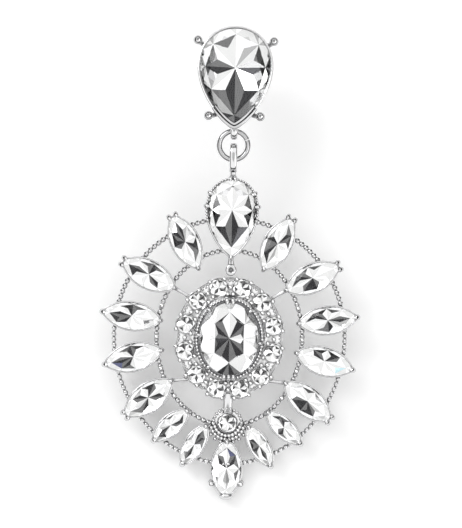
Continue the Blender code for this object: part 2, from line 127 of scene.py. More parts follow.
def seat(node, bench, heading=None):
    """Where a stone sits on a bench: middle, heading of its outer end, size and heights.

    Size is the spread of the girdle's corners along and across the heading. With no heading given,
    it is the way to the corner farthest from the middle, turned to point outwards."""
    points = bench.local(corners(node))
    _, under, over, table = levels(points)[:4]
    ring = points[np.abs(points[:, 2] - over) < 0.02][:, :2]
    middle = (ring.min(axis=0) + ring.max(axis=0)) / 2
    if heading is None:
        middle = ring.mean(axis=0)
        far = ring[np.argmax(np.linalg.norm(ring - middle, axis=1))] - middle
        heading = math.atan2(*(far * np.sign(far @ middle + 1e-12))[::-1])
    way = np.array([math.cos(heading), math.sin(heading)])
    spread = np.abs((ring - middle) @ np.array([way, (-way[1], way[0])]).T).max(axis=0)
    girdle = (under + over) / 2
    return Seat(node=node, at=middle, heading=heading, size=2 * spread, girdle=girdle, table=table)


def wider(stone, by):
    """The same seat with its outline a distance further out."""
    return Seat(**{**vars(stone), "size": stone.size + 2 * by})


oval = seat("centre_oval", medallion, TURN / 4)
medallion = Bench(medallion.world([*oval.at, oval.girdle - OVAL_GIRDLE]) / MM, medallion.axes[1])
along = np.mean(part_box("stud_pear"), axis=0)[1] / MM
height = seat("stud_pear", world, -TURN / 4).girdle - STUD_GIRDLE
stud = Bench((0, along, height), world.axes[1])

oval = seat("centre_oval", medallion, TURN / 4)
stud_pear = seat("stud_pear", stud, -TURN / 4)
drop_pear = seat("drop_pear", medallion, -TURN / 4)
foot_marquise = seat("bottom_marquise", medallion, -TURN / 4)
sides = ("right", "left")
marquises = [seat(f"marquise_{side}_{n}", medallion) for side in sides for n in range(1, 8)]
halo = [seat(f"halo_stone_{n:02d}", medallion, 0.0) for n in range(1, 13)]
small_round = seat("small_round", medallion, 0.0)
for stone in halo:
    stone.heading = math.atan2(*stone.at[::-1])
small_round.heading = -TURN / 4
foot_marquise.size += (0, 0.55)  # the bottom stone is plumper than its solid
for stone in (stud_pear, drop_pear, oval, foot_marquise, *marquises[:7], halo[0]):
    print(stone.node, np.round(stone.at, 2), np.round(stone.size, 2))

# %% [markdown]
# ## Outlines
#
# Every stone is cut to one of three outlines, and its setting follows the same line a little
# further out. An outline is a function of a share of the way round, so that a stone can ask for
# a few points and its setting for many. All start at the end that the heading points to.


# %% Outlines of the three cuts
def ellipse(share, length, width):
    """Half the length times cosine, half the width times sine."""
    a = TURN * share
    return np.stack([length / 2 * np.cos(a), width / 2 * np.sin(a)], axis=-1)


BLUNT = 0.70  # radius of the rounded ends of a marquise


def marquise(share, length, width, by=0.0, blunt=BLUNT):
    """Two equal arcs that meet in points, grown evenly so that the ends are round.

    The slimmer shape inside is smaller all round by the end's radius, and its own arcs have a
    radius of (length squared + width squared) / 4 widths. For each outward direction, the outline
    is the farthest point of the slimmer shape that way, plus the end's radius and `by`."""
    length, width = length - 2 * blunt, width - 2 * blunt
    radius = (length**2 + width**2) / (4 * width)
    x, y = np.cos(TURN * share), np.sin(TURN * share)
    side = np.stack([radius * x, np.sign(y) * (radius * np.abs(y) - radius + width / 2)], axis=-1)
    end = np.stack([np.sign(x) * length / 2, 0 * x], axis=-1)
    on_side = np.abs(x) < length / 2 / radius
    return np.where(on_side[..., None], side, end) + (blunt + by) * np.stack([x, y], axis=-1)


def tongue(share, length, width, by=0.0):
    """The bottom stone: a marquise with much rounder ends."""
    return marquise(share, length, width, by, 1.25)


PEAR_POWER, PEAR_WIDEST = 0.6, 0.842  # how slim the point is; the sine term's greatest value


def pear(share, length, width):
    """Half the length times cosine; half the width times sine, slimmed by a power of sine of half
    the angle, so that the sides run straight into a point."""
    a = TURN * np.mod(share, 1.0)
    side = np.sin(a) * np.abs(np.sin(a / 2)) ** PEAR_POWER / PEAR_WIDEST
    return np.stack([length / 2 * np.cos(a), width / 2 * side], axis=-1)


def shares(count):
    """Equal steps of one whole turn, from nought."""
    return np.arange(count) / count


def round_line(radius, along, share):
    """Points of a circle about a place on the long axis, at shares of a turn."""
    return ellipse(share, 2 * radius, 2 * radius) + (0, along)


def grown(outline, by):
    """An outline moved outwards: each corner goes along its mitre, the sum of the two neighbouring
    outward normals divided by one plus their dot product."""
    edge = np.roll(outline, -1, axis=0) - outline
    edge /= np.linalg.norm(edge, axis=1)[:, None]
    out = np.stack([edge[:, 1], -edge[:, 0]], axis=1)
    before = np.roll(out, 1, axis=0)
    mitre = (out + before) / (1 + np.maximum((out * before).sum(axis=1), -0.5))[:, None]
    return outline + by * mitre


def turned(points, heading):
    """Plan points turned about the origin by the heading."""
    c, s = math.cos(heading), math.sin(heading)
    return np.asarray(points) @ np.array([[c, s], [-s, c]])


def level(line, height):
    """A plan line at one height, or at a height for each point."""
    return np.column_stack([line, np.full(len(line), height)])


def placed(points, stone):
    """Points drawn about a stone's middle, turned to its heading and moved there; heights stay."""
    moved = np.array(points, float)
    moved[..., :2] = turned(moved[..., :2], stone.heading) + stone.at
    return moved


def ring_round(stone, outline, by, count):
    """The stone's outline, moved outwards."""
    if outline in (marquise, tongue):
        return outline(shares(count), *stone.size, by)
    return grown(outline(shares(count), *stone.size), by)


print("outline of a marquise, mm:", np.round(marquise(shares(8), 7.8, 3.8), 1).tolist())

# %% [markdown]
# ## Surfaces from arrays
#
# Metal parts are grids of points: a section carried along a path, or a profile carried round an
# outline. A grid wraps round one way and is either closed end to start or capped at both ends, so
# every part is a closed skin. The sign of the enclosed volume says whether a skin faces out, and
# one that doesn't is turned.


# %% Closed skins
def outward(points, faces):
    """A closed skin, its faces turned out. The volume inside is the sum over its triangles of
    corner dot (corner cross corner), over six, and it is negative when the faces look inwards."""
    fans = np.array([(f[0], f[i], f[i + 1]) for f in faces for i in range(1, len(f) - 1)])
    a, b, c = (points - points.mean(axis=0))[fans].transpose(1, 0, 2)
    volume = (a * np.cross(b, c)).sum() / 6
    return points, faces if volume > 0 else [face[::-1] for face in faces]


def skin(grid, looped=False):
    """Points and faces of a grid (rows, columns, 3) whose columns wrap round.

    Looped joins the last row to the first; otherwise both end rows are capped."""
    grid = np.asarray(grid)
    rows, columns, _ = grid.shape
    row = np.arange(rows if looped else rows - 1)[:, None]
    column = np.arange(columns)[None, :]
    after, beside = (row + 1) % rows, (column + 1) % columns
    here, there = row * columns, after * columns
    quads = np.stack([here + column, here + beside, there + beside, there + column], axis=-1)
    faces = quads.reshape(-1, 4).tolist()
    if not looped:
        faces += [column[0, ::-1].tolist(), ((rows - 1) * columns + column[0]).tolist()]
    return outward(grid.reshape(-1, 3), faces)


def joined(skins):
    """Several skins as one list of points and one of faces."""
    start, points, faces = 0, [], []
    for some_points, some_faces in skins:
        points.append(some_points)
        faces += [[start + corner for corner in face] for face in some_faces]
        start += len(some_points)
    return np.concatenate(points), faces


def carried(path, section, upright=(0, 0, 1), looped=False, swell=1.0):
    """A section of (sideways, upright) pairs carried along a path of points.

    Sideways is the path's own direction crossed with upright. Swell scales the section at each
    point of the path."""
    path = np.asarray(path, float)
    ahead = np.gradient(path, axis=0)
    if looped:
        ahead = np.roll(path, -1, axis=0) - np.roll(path, 1, axis=0)
    side = np.cross(ahead, upright)
    side /= np.linalg.norm(side, axis=1)[:, None]
    over = np.cross(side, ahead)
    over /= np.linalg.norm(over, axis=1)[:, None]
    scaled = section * np.broadcast_to(swell, len(path))[:, None, None]
    grid = path[:, None] + side[:, None] * scaled[..., :1] + over[:, None] * scaled[..., 1:]
    return skin(grid, looped)


def circle(count, radius=1.0, start=0.5):
    """Radius times cosine and sine, the first point half a step round unless told otherwise."""
    return ellipse((np.arange(count) + start) / count, 2 * radius, 2 * radius)


def soft_box(thick, tall):
    """A rounded rectangle: cosine and sine, each raised to two thirds with its sign kept."""
    way = circle(16)
    return np.sign(way) * np.abs(way) ** (2 / 3) * (thick / 2, tall / 2)


def lathe(pairs, count, at=(0, 0), start=0.5):
    """Circles of (radius, height) pairs about an upright axis, as if turned on a lathe."""
    return skin([level(circle(count, r, start) + at, z) for r, z in pairs])


def balls(centres, radii, columns=8, rows=5):
    """A ball at every centre, all from one small grid: latitude circles with flat polar caps."""
    tilt = math.pi * (np.arange(rows) + 0.5) / rows
    points, faces = lathe(zip(np.sin(tilt), -np.cos(tilt)), columns)
    centres = np.asarray(centres, float).reshape(-1, 3)
    radii = np.broadcast_to(np.asarray(radii, float), len(centres))
    every = (centres[:, None] + radii[:, None, None] * points[None]).reshape(-1, 3)
    steps = np.arange(len(centres)) * len(points)
    return every, [[step + corner for corner in face] for step in steps.tolist() for face in faces]


print("a ball has", len(balls([(0, 0, 0)], 1.0)[1]), "faces")

# %% [markdown]
# ## Shader maths as Python
#
# A finish is easier to read as arithmetic than as a web of nodes. The small class below wraps
# one output socket; adding or multiplying two of them makes the Math node that does it.


# %% Sockets that can be added and multiplied
class Wire:
    """One output socket of a material. Plus and times, and a number minus it, make Math nodes."""

    def __init__(self, recipe, socket):
        self.recipe, self.socket = recipe, socket

    def maths(self, operation, first, second):
        """The Math node for the operation, on two wires or numbers."""
        return self.recipe.node("Math", {"operation": operation}, {0: first, 1: second})

    def __add__(self, other):
        return self.maths("ADD", self, other)

    def __rsub__(self, other):
        return self.maths("SUBTRACT", other, self)

    def __mul__(self, other):
        return self.maths("MULTIPLY", self, other)

    __radd__, __rmul__ = __add__, __mul__


class Recipe:
    """A material or a world, and the nodes that make it."""

    def __init__(self, owner):
        self.owner = owner
        owner.use_nodes = True
        self.tree = owner.node_tree
        self.shader = self.tree.nodes.get("Principled BSDF") or self.tree.nodes["Background"]

    def feed(self, socket, value):
        """A wire is linked to the socket, and anything else is its value."""
        if isinstance(value, Wire):
            self.tree.links.new(value.socket, socket)
        else:
            socket.default_value = value

    def node(self, kind, settings=None, sockets=None, output=0):
        """Any shader node: its settings first, then the values or wires of its sockets."""
        made = self.tree.nodes.new("ShaderNode" + kind)
        for name, value in (settings or {}).items():
            setattr(made, name, value)
        for name, value in (sockets or {}).items():
            self.feed(made.inputs[name], value)
        return Wire(self, made.outputs[output])

    def ramp(self, share, *stops):
        """Greys along a share; a stop is a place and a grey."""
        wire = self.node("ValToRGB", None, {0: share})
        marks = wire.socket.node.color_ramp.elements
        for place, _ in stops[1:-1]:
            marks.new(place)
        for mark, (place, grey) in zip(marks, stops):
            mark.position, mark.color = place, (grey, grey, grey, 1)
        return wire

    def noise(self, scale, detail):
        """Noise on the piece's own coordinates; the scale is in cells a metre."""
        place = self.node("TexCoord", output="Object")
        return self.node("TexNoise", None, {"Vector": place, "Scale": scale, "Detail": detail})

    def mix(self, share, first, second, how="MIX"):
        """The second colour over the first, by a share."""
        settings = {"data_type": "RGBA", "blend_type": how}
        return self.node("Mix", settings, {0: share, 6: first, 7: second}, output=2)

    def surface(self, **values):
        """Sets the shader's own sockets; an underscore in a name stands for a space."""
        for name, value in values.items():
            self.feed(self.shader.inputs[name.replace("_", " ")], value)
        return self.owner


print("shader helpers ready")

# %% [markdown]
# ## Plated casting
#
# The metal is cast white metal with a bright plating, a mirror with small faults: it follows faint
# ripples of the casting, and it is duller where hands have rubbed it. Its colour is also darkened
# in low and narrow places, as painted shade. That painted shade draws a dark line round every bead
# and claw, which makes small castings readable. It could be painted by hand, but two measures place
# it: the recess shade that each piece brings, for low places, and the Ambient Occlusion node, for
# narrow ones. Noise at two sizes gives the ripple and the rubbing. The beads keep a brighter,
# rougher plating with a lighter painted shade, and the post is satin steel.


# %% Bright silver plating
def plating(name, colour, painted_shade, roughness, grain, reach, shut_in_shade):
    """Roughness is a base plus slow noise; colour goes to a dark painted shade in low places and
    where metal is shut in, which is where other metal stands within reach, in millimetres."""
    recipe = Recipe(bpy.data.materials.new(name))
    slow, fine = recipe.noise(grain, 3.0), recipe.noise(9 * grain, 2.0)
    recess_shade = recipe.node("Attribute", {"attribute_name": "recess_shade"}, output="Fac")
    free = recipe.node("AmbientOcclusion", {"samples": 12}, {"Distance": reach * MM}, output="AO")
    # painted shade: darker in low places, and where other metal stands close by
    shade_sum = recess_shade * (0.7 + 0.6 * slow) + shut_in_shade * (1.0 - free)
    shade_share = recipe.node("Clamp", None, {"Value": shade_sum})
    ripple = {"Height": slow + 0.35 * fine, "Strength": 0.10, "Distance": 0.05 * MM}
    return recipe.surface(
        Base_Color=recipe.mix(shade_share, (*colour, 1), (*painted_shade, 1)), Metallic=1.0,
        Roughness=roughness + 0.10 * slow + 0.15 * shade_share, Normal=recipe.node("Bump", None, ripple),
    )


# each finish: name, colour, colour of the painted shade, roughness, grain, reach, strength of the
# painted shade where metal is shut in
silver, bead_silver, pin_steel = (plating(*finish) for finish in (
    ("bright_silver_plating", (0.78, 0.78, 0.785), (0.09, 0.09, 0.095), 0.04, 900, 0.40, 1.15),
    ("silver_plating_on_beads", (0.90, 0.90, 0.902), (0.20, 0.20, 0.205), 0.08, 900, 0.30, 0.46),
    ("satin_post_steel", (0.58, 0.585, 0.595), (0.16, 0.16, 0.17), 0.22, 1500, 0.40, 1.15),
))
print("metal finishes:", silver.name, bead_silver.name, pin_steel.name)

# %% [markdown]
# ## Clear stones with a foiled back
#
# The stones are cut glass whose back facets carry a mirror foil. Two finishes on one closed mesh
# do the same: clear glass on top, and a metal mirror on the facets below. In a real stone, light
# thrown from foil to foil leaves some facets white and some nearly black. Following it takes very
# many samples, so the glass here bends light only a little, and each facet of the foil carries a
# painted reflection instead, a grey from white to nearly black held by an attribute of the mesh.

# %% Glass and foil
clear = Recipe(bpy.data.materials.new("clear_cut_glass"))
glass = clear.surface(  # a thin gloss, and roughness of a very small base plus haze in patches
    Base_Color=(0.99, 0.993, 1.0, 1), Roughness=0.004 + 0.012 * clear.noise(260.0, 2.0), IOR=1.20,
    Transmission_Weight=1.0, Coat_Weight=0.5, Coat_Roughness=0.01,
)

# Two nearly equal brights in patches, multiplied by the facet's painted reflection
mirror = Recipe(bpy.data.materials.new("mirror_foil"))
patch = mirror.noise(700.0, 2.0)
tone = mirror.node("Attribute", {"attribute_name": "tone"}, output="Color")
uneven = mirror.mix(patch, (0.94, 0.945, 0.95, 1), (0.99, 0.985, 0.985, 1))
tint = mirror.mix(1.0, tone, uneven, "MULTIPLY")
foil = mirror.surface(Base_Color=tint, Metallic=1.0, Roughness=0.03 + 0.03 * patch)
print("stone finishes:", glass.name, foil.name)

# %% [markdown]
# ## Putting a piece in the scene
#
# One function turns skins into a piece that rides on the earring. It bakes their place on the
# bench into the mesh, so the object itself stays at the origin. It also writes the recess shade, a
# painted shade that grows with how far a point lies below the top of its own piece.


# %% Make a piece
counts = {}


def put(name, data):
    """An object in the scene, at the origin."""
    obj = bpy.data.objects.new(name, data)
    bpy.context.scene.collection.objects.link(obj)
    return obj


def piece(
    name, skins, finish, deep=(-99, 1), painted_shade=0.22, stands_for=(), bench=medallion, slot="silver",
):
    """Skins as one object. Recess shade is painted shade: the given strength times the depth below
    `deep[0]`, over `deep[1]`.
    """
    points, faces = joined(skins)
    mesh = bpy.data.meshes.new(name)
    mesh.from_pydata(bench.world(points), [], faces)
    # recess shade: painted shade that grows with the depth below `deep[0]`
    low = painted_shade * np.clip((deep[0] - points[:, 2]) / deep[1], 0, 1)
    recess_shade = mesh.attributes.new("recess_shade", "FLOAT", "POINT")
    recess_shade.data.foreach_set("value", low.astype(np.float32))
    mesh.materials.append(finish)
    if slot != "crystal":
        mesh.shade_smooth()
        mesh.set_sharp_from_angle(angle=math.radians(42))
    obj = put(name, mesh)
    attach(obj, "root")
    if stands_for:
        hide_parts(*stands_for)
    mesh.calc_loop_triangles()
    counts[name] = len(mesh.loop_triangles)
    return mesh


print("pieces can be made")

# %% [markdown]
# ## Cutting a stone
#
# A fancy stone is a flat table, a crown of kites and small triangles round it, a thin girdle,
# and a back of long kites that meet in a point. A smooth shape would lose the sparkle, which comes
# from flat facets that each mirror a different patch of the room, so the faces are listed one by
# one from six rings of corners and a point. The back is shallow, so that its facets look at the
# bright top of the tent. They meet at the heart, which on a pear lies nearer the round end, and
# each long kite is split along its ridge into halves with a lighter and a darker painted
# reflection.


# %% Facets of a stone
# the foil's painted reflections: each letter is a colour that stands in for the light a facet sends
# back
PAINTED_REFLECTIONS = {  # white, light, middle, grey, dark; and the aqua and blue that cut glass throws
    "W": (1.0, 1.0, 1.0), "L": (0.82, 0.82, 0.81), "M": (0.48, 0.48, 0.475),
    "G": (0.18, 0.18, 0.18), "D": (0.03, 0.03, 0.032), "A": (0.60, 0.83, 0.88),
    "B": (0.11, 0.12, 0.22),
}
OTHER_HALF = dict(zip("WLMGDAB", "LWLDGWD"))  # tone of a facet's second half
CROWN_SLOPE, FOIL_SLOPE = math.tan(math.radians(31)), math.tan(math.radians(15))
CROWN_MID = 0.80  # where the crown's kites are widest, as a share of the way to the girdle


def cut_stone(stone, outline, inner, edge, table=0.58, kites=(0.5, 0.8), fine=2, heart=0, slant=0):
    """A skin, and for each face whether it is foil, and its painted reflection.

    Main facet k looks at share k of a turn about the heart; the triangles beside it meet half-way
    to the next. Where such a direction meets the outline is read off a dense table of directions.
    Slant leans the directions towards the length, as on a long stone: sine times width and cosine
    times length, each to that power. Rings shrink towards the heart. A crown ring lies on the
    straight line from girdle to table, and a back ring's height is the back's slope times its
    distance from the axis."""
    n, per = len(inner) // 2, 2 * fine
    band, by_girdle = edge[:n], edge[n:] or edge[:n]
    at_mains, between = shares(n), shares(n) + 0.5 / n
    length, width = stone.size
    core = np.array([heart * length, 0.0])
    dense = shares(1440)
    ways = np.unwrap(np.arctan2(*(outline(dense, *stone.size) - core).T[::-1])) / TURN

    def ring(share, scale, height):
        a = TURN * share
        way = np.arctan2(np.sin(a) * width**slant, np.cos(a) * length**slant) / TURN
        flat = outline(np.interp(way, ways, dense, period=1.0), *stone.size)
        return level(core + ((flat - core).T * scale).T, height)

    slack, half_edge, girdle = math.cos(math.pi / n), 0.05, stone.girdle
    rise = min(stone.table - girdle, CROWN_SLOPE * (1 - table) * width / 2)
    climb_of_crown = (rise - half_edge) / (1 - table)
    climb = FOIL_SLOPE * width / 2
    deep = girdle - half_edge - 0.95 * climb
    near, far = map(np.array, kites)
    rim = n * per
    round_it = shares(rim)
    rings = [
        ring(at_mains, table, girdle + rise),
        ring(between, CROWN_MID, girdle + half_edge + climb_of_crown * (1 - CROWN_MID * slack)),
        ring(round_it, 1.0, girdle + half_edge),
        ring(round_it, 1.0, girdle - half_edge),
        ring(at_mains, far, deep + climb * far),
        ring(between, near, deep + climb * near * slack),
        [[*core, deep]],
    ]
    t, m, g, h, e, b, point = np.cumsum([0] + [len(r) for r in rings])[:7].tolist()
    faces, foiled, tone = [list(range(t, t + n))], [False], [PAINTED_REFLECTIONS["W"]]
    for k in range(n):
        after, middle = (k + 1) % n, k * per
        crown = [[t + k, m + k, t + after], [t + k, m + (k - 1) % n, g + middle, m + k]]
        back = [[point, b + k, e + k], [point, e + k, b + (k - 1) % n]]
        back += [[b + k, e + after, e + k], [e + k, e + after, h + middle + fine]]
        letters = [inner[2 * k], OTHER_HALF[inner[2 * k]], inner[2 * k + 1], band[k]]
        for i in range(-fine, fine):
            one, two = (middle + i) % rim, (middle + i + 1) % rim
            tip = m + (k if i >= 0 else k - 1) % n
            crown.append([tip, g + one, g + two])
            crown.append([g + one, h + one, h + two, g + two])
            back.append([e + k, h + two, h + one])
            letters.append(by_girdle[k] if i % 2 else OTHER_HALF[by_girdle[k]])
        faces += crown + back
        foiled += [False] * len(crown) + [True] * len(back)
        tone += [PAINTED_REFLECTIONS["W"]] * len(crown) + [PAINTED_REFLECTIONS[letter] for letter in letters]
    return outward(placed(np.concatenate(rings), stone), faces), foiled, tone


def set_stone(stone, bench, outline, spread, *reflection_words, **cut):
    """A cut stone whose edge lies on the lip of its setting, `spread` outside the seat."""
    node = stone.node
    shape, foiled, tone = cut_stone(wider(stone, spread), outline, *reflection_words, **cut)
    mesh = piece(f"cut_{node}", [shape], glass, stands_for=[node], bench=bench, slot="crystal")
    mesh.materials.append(foil)
    mesh.polygons.foreach_set("material_index", np.array(foiled, np.int32))
    colours = np.column_stack([tone, np.ones(len(tone))]).astype(np.float32)
    mesh.attributes.new("tone", "FLOAT_COLOR", "FACE").data.foreach_set("color", colours.ravel())


print("slopes of crown and back:", round(CROWN_SLOPE, 2), round(FOIL_SLOPE, 2))

# %% [markdown]
# ## The large stones
#
# Three fancy stones are seen first: the pear of the stud, the pear at the top of the drop, and
# the oval in its middle. Their painted reflections could be left to chance, but few chance patterns
# look like a good stone, so each back facet gets a letter, from W for painted white to D for
# painted dark. The first word gives the painted reflections round the middle, kite and triangle in
# turn, counter-clockwise from the outer end. The second gives the band outside them, and then, if
# it goes on, the small facets by the girdle.

# %% Set the large stones
OVAL_KITES = ((0.50, 0.37, 0.37, 0.50) * 2, (0.66, 0.58, 0.44, 0.58, 0.60, 0.58, 0.44, 0.58))
set_stone(oval, medallion, ellipse, 0.60, "WGDMDWGWGWGWLWDW", "LWWWLWWWLWWWGWWM",
          kites=OVAL_KITES, table=0.60)
set_stone(stud_pear, stud, pear, 0.40, "GDWGGMMWLGWWDWWG", "GMLLWWLMGMGMWMMG",
          kites=(0.52, 0.80), table=0.64, heart=-0.10)
set_stone(drop_pear, medallion, pear, 0.10, "DDWDWMWWWWWGLDWD", "WLLLWLLLLLMMLMML", heart=-0.10)
print("large stones:", ", ".join(counts))

# %% [markdown]
# ## The small stones
#
# Fourteen marquises stand round the drop like petals, a plumper one hangs at its foot, twelve
# round stones make a halo, and one more sits below them. Copies of one marquise and one round
# would all sparkle alike, so every marquise has its own word of painted reflections, and the round
# stones start theirs at different letters.

# %% Set the marquises and the round stones
MARQUISE_REFLECTIONS = """
    WWWWGGDDMWWWWGDG WWLWWWDDWLDDGWWL GWWWWGDDWWLGDWMM WWDDWDDWWWLWWWWA WWWWLWWWWWDDGDGW
    WWLWWWGDWWWWDGWW GWWWLWWWWLGDDGWW GWGDGWWWWGDGWWMW DDWWWWDWWWWMGWWW GDDWWWWGWWWWDGWW
    DBDGWWWWWWWGDWWW WGDWWWDWWWDGWWGW GDWWWWDDWWWWWWMW DWWWWWDGDWWWWLWG MWWWWWGBWWDWWWWW
""".split()
for word, stone in zip(MARQUISE_REFLECTIONS, [*marquises, foot_marquise]):
    outline = tongue if stone is foot_marquise else marquise
    set_stone(stone, medallion, outline, 0.17, word, "LWWLLWWL", table=0.55, slant=0.8)
ROUND_REFLECTIONS = "GLWWMDWLWGWWDWLW"
for turn_by, stone in enumerate([*halo, small_round]):
    first, spread = 2 * turn_by % 16, 0.28 if stone is small_round else 0.22
    word = ROUND_REFLECTIONS[first:] + ROUND_REFLECTIONS[:first]
    set_stone(stone, medallion, ellipse, spread, word, "WLWGWLWM",
              kites=(0.45, 0.75), table=0.55, fine=1)
print(len(counts), "stones,", sum(counts.values()), "triangles")

# %% [markdown]
# ## Settings
#
# A setting is a thin wall that follows the stone's outline, narrower at the back, with a rounded
# lip. Its profile is a closed loop of three numbers: how far out from the stone's edge, how much
# the outline is scaled, and how high. Carried round the outline it makes a closed band.


# %% The wall round a stone
CLEAR = 0.06  # how far outside a stone's edge its wall starts


def carried_round(stone, outline, profile, count, looped=False):
    """Each ring is the outline grown by an offset, scaled about its middle, at its height."""
    rings = [level(ring_round(stone, outline, off, count) * scale, z) for off, scale, z in profile]
    return skin(placed(rings, stone), looped)


def wall(stone, outline, thick, rim, back, back_scale, count=48):
    """Up outside from the back, over the lip and down inside."""
    lip, out = min(0.12, thick / 3), CLEAR + thick
    shoulder, bend = rim - 1.6 * lip, rim - 0.5 * lip
    mid, mid_scale = (rim + back) / 2, (1 + back_scale) / 2
    profile = (
        (out - lip, back_scale, back), (out, back_scale, back + lip), (out, mid_scale, mid),
        (out, 1.0, shoulder), (out - 0.35 * lip, 1.0, bend), (out - lip, 1.0, rim),
        (CLEAR + lip, 1.0, rim), (CLEAR + 0.3 * lip, 1.0, bend), (CLEAR, 1.0, shoulder),
        (CLEAR, mid_scale - 0.02, mid), (CLEAR, back_scale - 0.04, back + lip),
        (CLEAR + lip, back_scale - 0.04, back),
    )
    return carried_round(stone, outline, profile, count, looped=True)


def claw(stone, share, outline, rim, back, radius, sideways=0.0, over=0.16, lift=0.36, wide=1.0):
    """A claw: a round wire that climbs the wall and bends inwards over the stone's edge.

    Share says where on the outline it stands. The path's plane holds the outward direction."""
    foot, after, before = outline(share + np.array([0, 1e-3, -1e-3]), *stone.size)
    tangent = (after - before) / np.linalg.norm(after - before)
    out = np.array([tangent[1], -tangent[0]])
    foot += sideways * tangent
    steps = np.array([
        (0.32, back), (0.40, back + 0.4 * (rim - back)), (0.44, rim - 0.45),
        (0.42, rim - 0.05), (0.30, rim + 0.62 * lift), (0.14, rim + 0.92 * lift),
        (0.10 - over, rim + lift),
    ])
    swell = np.array([0.80, 0.92, 1.0, 1.05, 1.06, 0.98, 0.60])
    path = placed(np.column_stack([foot + steps[:, :1] * out, steps[:, 1]]), stone)
    across = np.append(turned(tangent[None], stone.heading)[0], 0.0)
    return carried(path, circle(10, radius) * (1.0, wide), across, swell=swell)


MARQUISE_RIM, HALO_RIM, PEAR_RIM, OVAL_RIM, STUD_RIM = 2.12, 2.04, 2.64, 2.87, 3.97
print("lips of the settings, mm:", MARQUISE_RIM, HALO_RIM, PEAR_RIM, OVAL_RIM, STUD_RIM)

# %% [markdown]
# ## Settings of the marquises
#
# Each marquise stands in its own cup and is held at its two ends. The outer end has a pair of
# claws on the first, second and fifth of each side, one on the others, and a wide one on the
# bottom stone. The claws could be raised out of the wall's own mesh, but in a casting they are
# wires laid against it, and as wires they meet it in the same sharp corner.

# %% Marquise settings
walls, claws = [], []
for stone in (*marquises, foot_marquise):
    outline = tongue if stone is foot_marquise else marquise
    walls.append(wall(stone, outline, 0.27, MARQUISE_RIM, 0.0, 0.82))
    wide = 2.2 if outline is tongue else 1.0
    for side in (-0.55, 0.55) if stone.node[-1] in "125" else (0.0,):
        radius = 0.36 if side else 0.44
        claws.append(claw(stone, 0.0, outline, MARQUISE_RIM, 0.5, radius, side, wide=wide))
    claws.append(claw(stone, 0.5, outline, MARQUISE_RIM, 0.7, 0.34, lift=0.30))
piece("marquise_walls", walls, silver, (MARQUISE_RIM, 2.6), 0.5, ["drop_frame"])
piece("marquise_claws", claws, silver, (MARQUISE_RIM + 0.75, 1.1), 0.5)
print("marquise settings:", counts["marquise_walls"] + counts["marquise_claws"], "triangles")

# %% [markdown]
# ## Settings of the oval and the upper pear
#
# The oval has the thickest wall of the drop and a claw every few millimetres. The pear's claws sit
# at its shoulders and its tip. Both are made by the same two functions, with other outlines.

# %% The centre and the pear at the top
oval_wall = wall(oval, ellipse, 0.56, OVAL_RIM, 0.1, 0.88, 72)
pear_wall = wall(drop_pear, pear, 0.33, PEAR_RIM, 0.1, 0.82, 72)
edge_of_oval = wider(oval, 0.2)
thin = (0.115, 0.385, 0.615, 0.885, 0.235, 0.735)
tips = [claw(edge_of_oval, share, ellipse, OVAL_RIM, 1.4, 0.26) for share in thin]
for share, side in ((0.0, -0.42), (0.0, 0.42), (0.5, -0.68), (0.5, 0.0), (0.5, 0.68)):
    tips.append(claw(edge_of_oval, share, ellipse, OVAL_RIM, 1.4, 0.36, side, over=0.30))
for share in (0.36, 0.64, 0.30, 0.70):
    tips.append(claw(drop_pear, share, pear, PEAR_RIM, 0.7, 0.34, over=0.26))
tips += [claw(drop_pear, 0.5, pear, PEAR_RIM, 0.9, 0.30, side) for side in (-0.34, 0.34)]
tips.append(claw(drop_pear, 0.0, pear, PEAR_RIM, 0.7, 0.36))
piece("centre_and_pear_walls", [oval_wall, pear_wall], silver, (OVAL_RIM, 3.4), 0.5)
piece("centre_and_pear_claws", tips, silver, (OVAL_RIM + 0.4, 1.6), 0.4)
print("oval and pear:", len(tips), "claws")

# %% [markdown]
# ## The halo
#
# Twelve round stones stand in cups on a thin oval plate with a low raised band. Small round beads
# hold them, four round each stone and one in each gap. An array along a curve could place them,
# but the stones aren't evenly spaced, so a bead's place is an angle and a distance from its own
# stone's outward direction.

# %% Plate and band of the halo
SOFT = 0.12  # radius of the plate's soft edge
outer, inner = ellipse(shares(96), 15.6, 17.6), ellipse(shares(96), 7.4, 9.0)
edge = (  # a line, how far outside it and how high, in radii of the soft edge
    (outer, -1, 2.5), (outer, 0, 3.5), (outer, 0, 6), (outer, -1, 7),
    (outer, -3, 7), (outer, -4, 6), (inner, -1, 6), (inner, -1, 2.5),
)
rings = [level(grown(line, by * SOFT), z * SOFT) for line, by, z in edge]
plate = skin(rings, looped=True)
BAND = (  # half width, half length and height of each ring of the raised band
    (4.5, 5.5, 0.6), (4.5, 5.5, 1.35), (4.7, 5.7, 1.45),
    (7.2, 8.2, 1.45), (7.42, 8.42, 1.32), (7.42, 8.42, 0.6),
)
rings = [level(ellipse(shares(96), 2 * across, 2 * along), z) for across, along, z in BAND]
band = skin(rings, looped=True)
cups = [wall(stone, ellipse, 0.24, HALO_RIM, 0.5, 0.92, 32) for stone in (*halo, small_round)]
places = np.array([stone.at for stone in halo])
away = places / np.linalg.norm(places, axis=1)[:, None]
beside = np.stack([-away[:, 1], away[:, 0]], axis=1)
REACH, BEARINGS = 1.56, np.radians((44, -44, 136, -136))  # of a bead, from its stone's middle
spots = [places + REACH * (math.cos(a) * away + math.sin(a) * beside) for a in BEARINGS]
spots = np.concatenate([*spots, 1.02 * (places + np.roll(places, -1, axis=0)) / 2])
beads = balls(level(spots, HALO_RIM + 0.18), 0.36, 10, 7)
posts = []
for x, y in spots:
    stem = [(x, y, 0.6), (x, y, HALO_RIM + 0.1)]
    posts.append(carried(stem, circle(8, 0.30), (0, 1, 0)))
